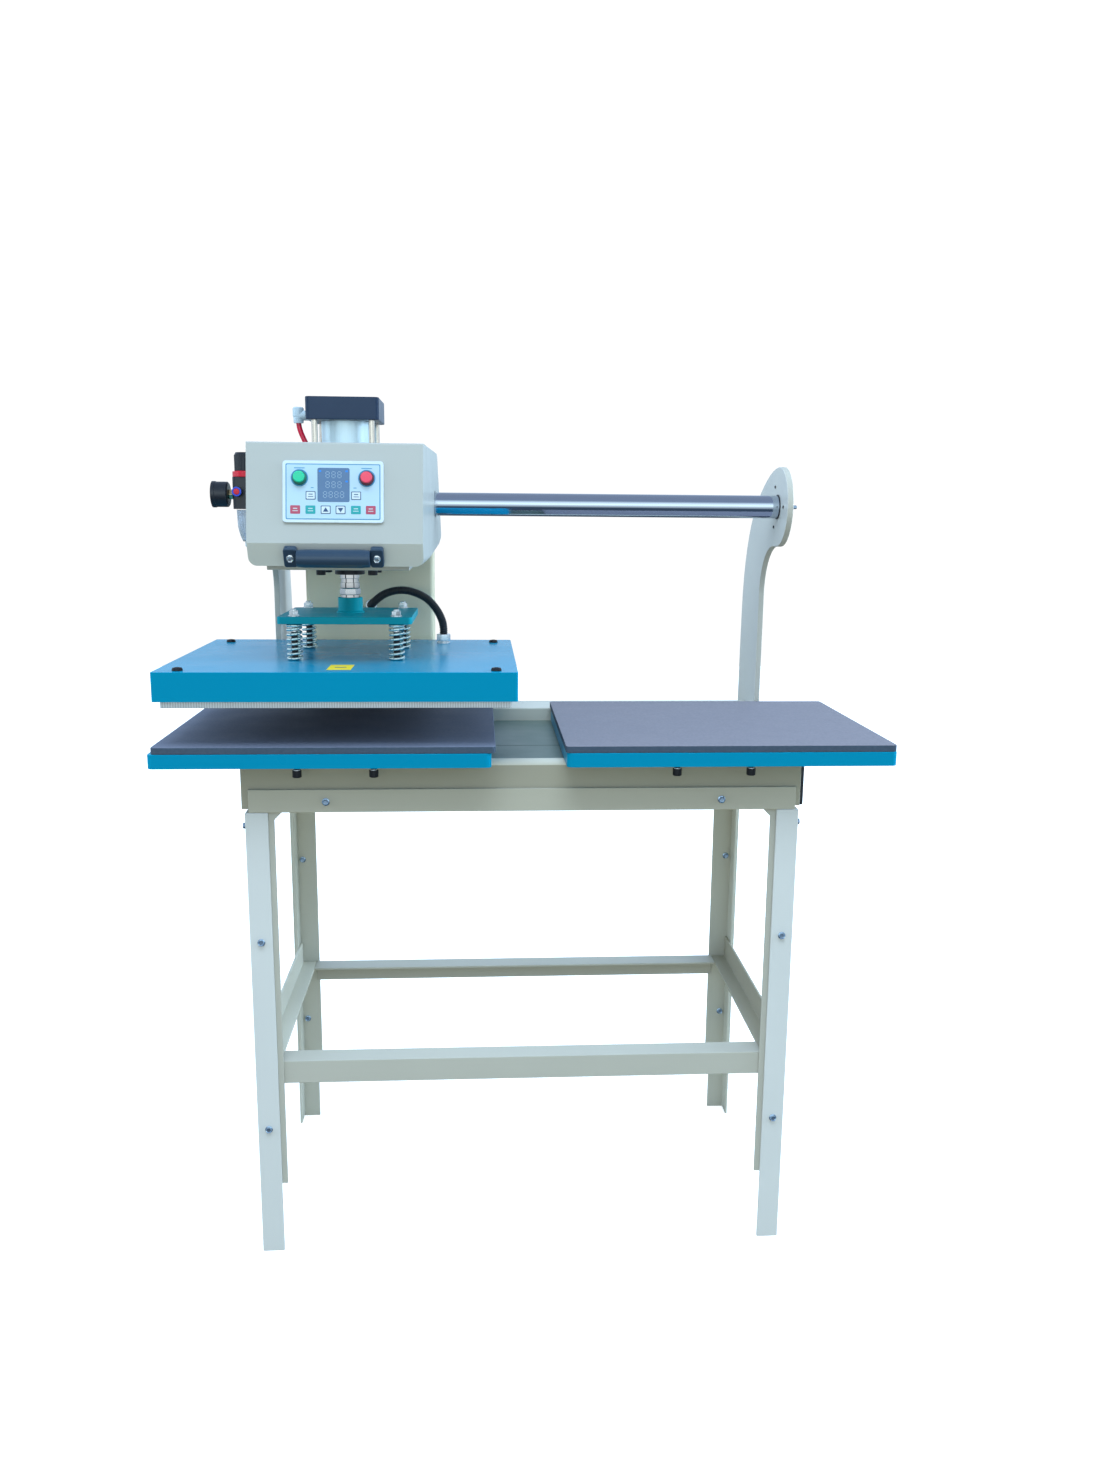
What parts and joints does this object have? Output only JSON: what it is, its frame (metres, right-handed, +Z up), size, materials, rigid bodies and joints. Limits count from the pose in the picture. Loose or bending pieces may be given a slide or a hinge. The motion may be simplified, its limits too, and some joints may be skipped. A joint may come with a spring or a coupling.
{
  "type": "heat press",
  "caption": "Pneumatic shuttle heat press on a steel stand: the heated head slides along a bar between two padded stations and presses flat goods.",
  "frame": {"origin": "on the floor under the middle of the stand", "axes": "+Z up, -Y towards the operator, +X to the operator's right along the guide bar"},
  "size_m": [1.1116, 0.568, 1.3645],
  "materials": {
    "cream_powder_coat": "semi-gloss powder coat",
    "teal_powder_coat": "gloss powder coat",
    "silicone_foam": "matt",
    "black_plastic": "satin",
    "dark_anodised": "dark satin",
    "chrome": "polished",
    "aluminium": "satin",
    "bright_steel": "zinc plated",
    "white_overlay": "satin film",
    "green_button": "gloss",
    "red_button": "gloss",
    "smoked_bowl": "clear",
    "red_pointer": "gloss",
    "grey_fitting": "satin",
    "red_hose": "gloss",
    "insulation_board": "matt"
  },
  "bodies": {
    "bench": {"leg_front_left": "cream_powder_coat", "leg_front_right": "cream_powder_coat", "leg_rear_left": "cream_powder_coat", "leg_rear_right": "cream_powder_coat", "liner_front_left": "cream_powder_coat", "liner_front_right": "cream_powder_coat", "liner_rear_left": "cream_powder_coat", "liner_rear_right": "cream_powder_coat", "rail_front": "cream_powder_coat", "rail_rear": "cream_powder_coat", "rail_left": "cream_powder_coat", "rail_right": "cream_powder_coat", "tie_left": "cream_powder_coat", "tie_right": "cream_powder_coat", "tie_front": "cream_powder_coat", "tie_rear": "cream_powder_coat", "base_frame": "cream_powder_coat", "rear_beam": "cream_powder_coat", "base_end_plate": "black_plastic", "tray_left": "teal_powder_coat", "tray_right": "teal_powder_coat", "pad_left": "silicone_foam", "pad_right": "silicone_foam", "arm_left": "cream_powder_coat", "arm_right": "cream_powder_coat", "guide_bar": "chrome"},
    "head": {"hood": "cream_powder_coat", "control_panel": "white_overlay", "handle": "black_plastic", "mounting_plate": "bright_steel", "cylinder_front_cap": "dark_anodised", "cylinder_barrel": "aluminium", "cylinder_top_cap": "dark_anodised", "bearing_block": "aluminium", "column": "cream_powder_coat", "air_unit_body": "black_plastic", "air_unit_bowl": "smoked_bowl", "gauge": "black_plastic", "elbow": "grey_fitting", "air_hose": "red_hose", "conduit_gland_head": "bright_steel", "conduit": "black_plastic"},
    "platen": {"platen_cover": "teal_powder_coat", "heating_plate": "aluminium", "insulation": "insulation_board", "conduit_gland_platen": "bright_steel", "spring_front_left": "chrome", "spring_front_right": "chrome", "spring_rear_left": "chrome", "spring_rear_right": "chrome"},
    "ram": {"press_plate": "teal_powder_coat", "piston_rod": "chrome"},
    "start_button": {"start_button": "green_button"},
    "stop_button": {"stop_button": "red_button"},
    "air_unit_knob": {"air_unit_knob": "black_plastic"},
    "gauge_needle": {"gauge_needle": "red_pointer"},
    "roller_left": {"roller_left": "bright_steel"},
    "roller_right": {"roller_right": "bright_steel"}
  },
  "joints": [
    {"name": "head_slide", "type": "slide", "parent": "bench", "child": "head", "axis": [1, 0, 0], "range_m": [-0.008, 0.57]},
    {"name": "platen_slide", "type": "slide", "parent": "head", "child": "platen", "axis": [0, 0, -1], "range_m": [0, 0.0585]},
    {"name": "ram_slide", "type": "slide", "parent": "platen", "child": "ram", "axis": [0, 0, -1], "range_m": [0, 0.012], "stiffness_N_per_m": 40000, "springref_m": -0.006, "deforming": ["spring_front_left", "spring_front_right", "spring_rear_left", "spring_rear_right"]},
    {"name": "start_button_press", "type": "slide", "parent": "head", "child": "start_button", "axis": [0, 0.9811, -0.1935], "range_m": [0, 0.003], "stiffness_N_per_m": 400, "springref_m": -0.002},
    {"name": "stop_button_press", "type": "slide", "parent": "head", "child": "stop_button", "axis": [0, 0.9811, -0.1935], "range_m": [0, 0.003], "stiffness_N_per_m": 400, "springref_m": -0.002},
    {"name": "air_unit_knob_turn", "type": "hinge", "parent": "head", "child": "air_unit_knob", "pos_m": [-0.435, -0.065, 1.26], "axis": [0, 0, 1], "continuous": true},
    {"name": "gauge_needle_turn", "type": "hinge", "parent": "head", "child": "gauge_needle", "pos_m": [-0.486, -0.065, 1.2195], "axis": [-1, 0, 0], "range_deg": [0, 250]},
    {"name": "roller_left_turn", "type": "hinge", "parent": "head", "child": "roller_left", "pos_m": [-0.3437, 0.1775, 0.8638], "axis": [0, 1, 0], "continuous": true},
    {"name": "roller_right_turn", "type": "hinge", "parent": "head", "child": "roller_right", "pos_m": [-0.1877, 0.1775, 0.8638], "axis": [0, 1, 0], "continuous": true}
  ],
  "couplings": [
    {"joint": "roller_left_turn", "follows": "head_slide", "rad_per_m": 55.556},
    {"joint": "roller_right_turn", "follows": "head_slide", "rad_per_m": 55.556}
  ]
}
